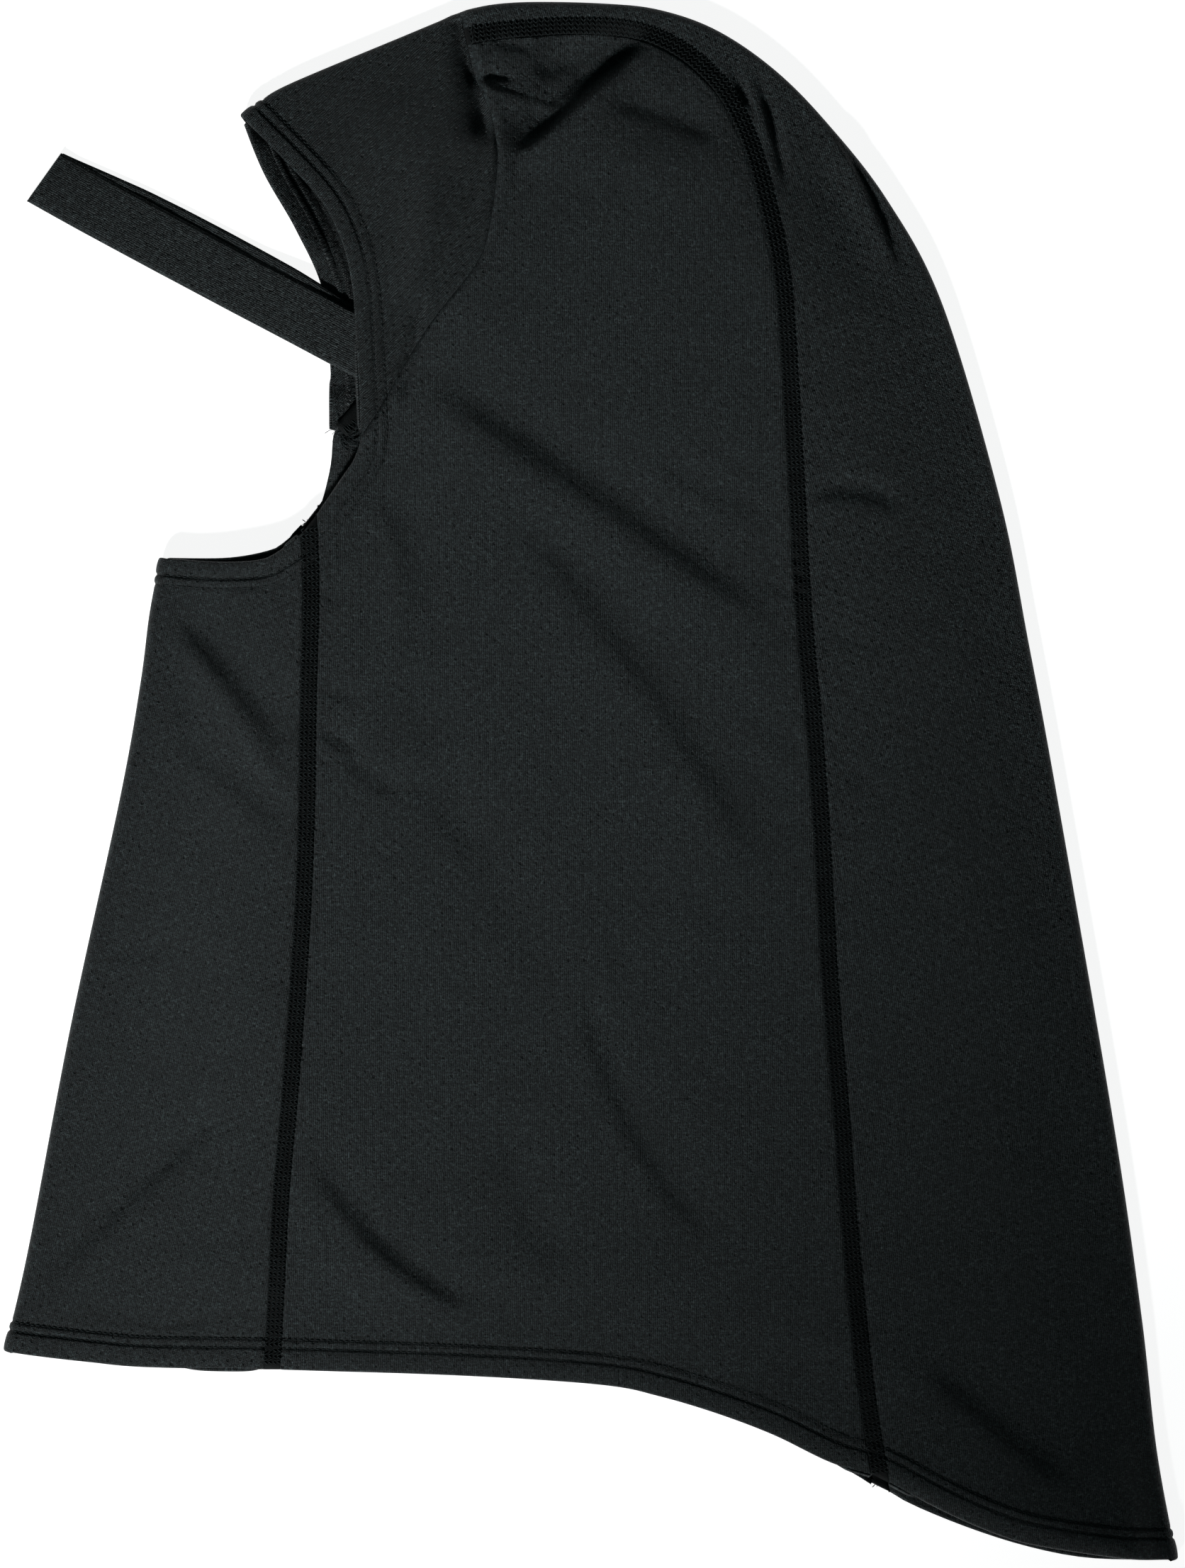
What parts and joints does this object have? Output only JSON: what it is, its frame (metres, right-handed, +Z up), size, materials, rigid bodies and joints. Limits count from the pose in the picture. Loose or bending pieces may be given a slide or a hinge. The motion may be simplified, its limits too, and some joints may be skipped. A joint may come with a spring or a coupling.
{
  "type": "sports hijab",
  "caption": "Pull-on knit hood lying flat on its side, with an open face, an open neck with a hem that falls to a tail at the back, flat seams and a soft inner head strap.",
  "frame": {"origin": "centre of the bounding box at the surface that the hood lies on", "axes": "+Y towards the crown, +Z up from the surface that it lies on, -X the way that the face opening looks"},
  "size_m": [0.38, 0.5049, 0.0138],
  "materials": {
    "twill_knit": "near-black knit with fine slanting lines",
    "dotted_knit": "near-black knit with pin dots and fine upright wales",
    "seam_thread": "black thread, looped over the seam",
    "strap_knit": "near-black knit tape"
  },
  "bodies": {
    "root": {"forehead_panel": "twill_knit", "back_panel": "dotted_knit", "chin_panel": "dotted_knit", "side_panel_left": "dotted_knit", "side_panel_right": "dotted_knit", "crown_seam_left": "seam_thread", "crown_seam_right": "seam_thread", "chin_seam_left": "seam_thread", "chin_seam_right": "seam_thread", "brow_seam_left": "seam_thread", "brow_seam_right": "seam_thread", "head_strap": "strap_knit"}
  },
  "joints": []
}
